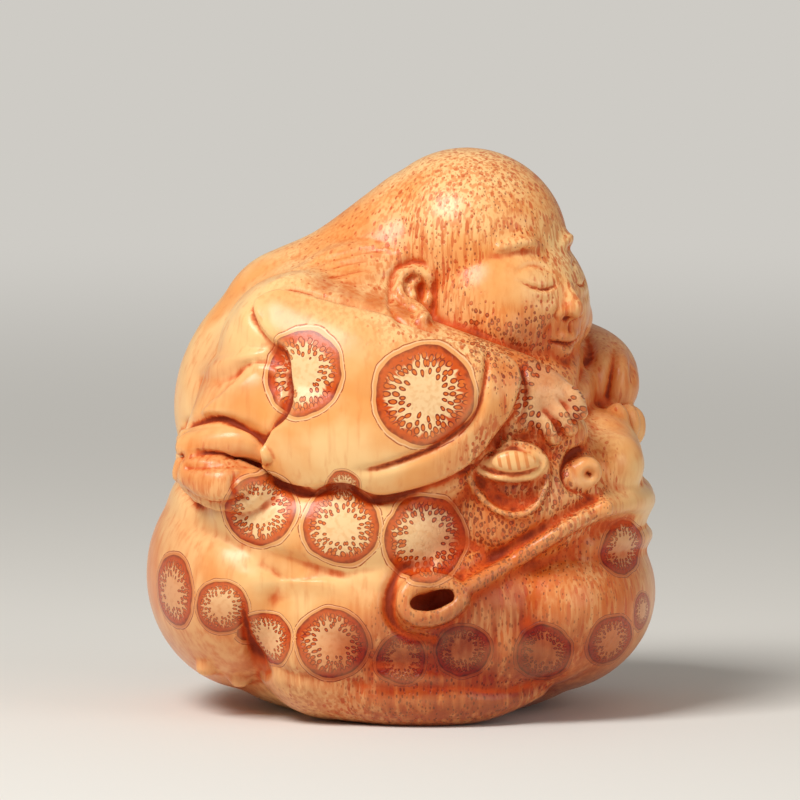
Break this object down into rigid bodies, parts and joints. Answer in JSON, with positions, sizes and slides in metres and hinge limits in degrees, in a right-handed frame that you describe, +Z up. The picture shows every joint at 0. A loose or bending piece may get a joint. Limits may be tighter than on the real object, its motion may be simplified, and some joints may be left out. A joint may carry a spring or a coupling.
{
  "type": "carved figurine",
  "caption": "Hand-sized figurine carved from one bamboo root: a child in a long-sleeved robe lies over a big toad and hugs its head; it stands on a small flat base.",
  "frame": {"origin": "centre of the bounding box, on the base plane", "axes": "+X is where the toad looks, -Y is the display side, +Z is up"},
  "size_m": [0.0414, 0.0372, 0.0451],
  "materials": {
    "bamboo_root": "hand-polished, glossy"
  },
  "bodies": {
    "root": {"bamboo_root_carving": "bamboo_root"}
  },
  "joints": []
}
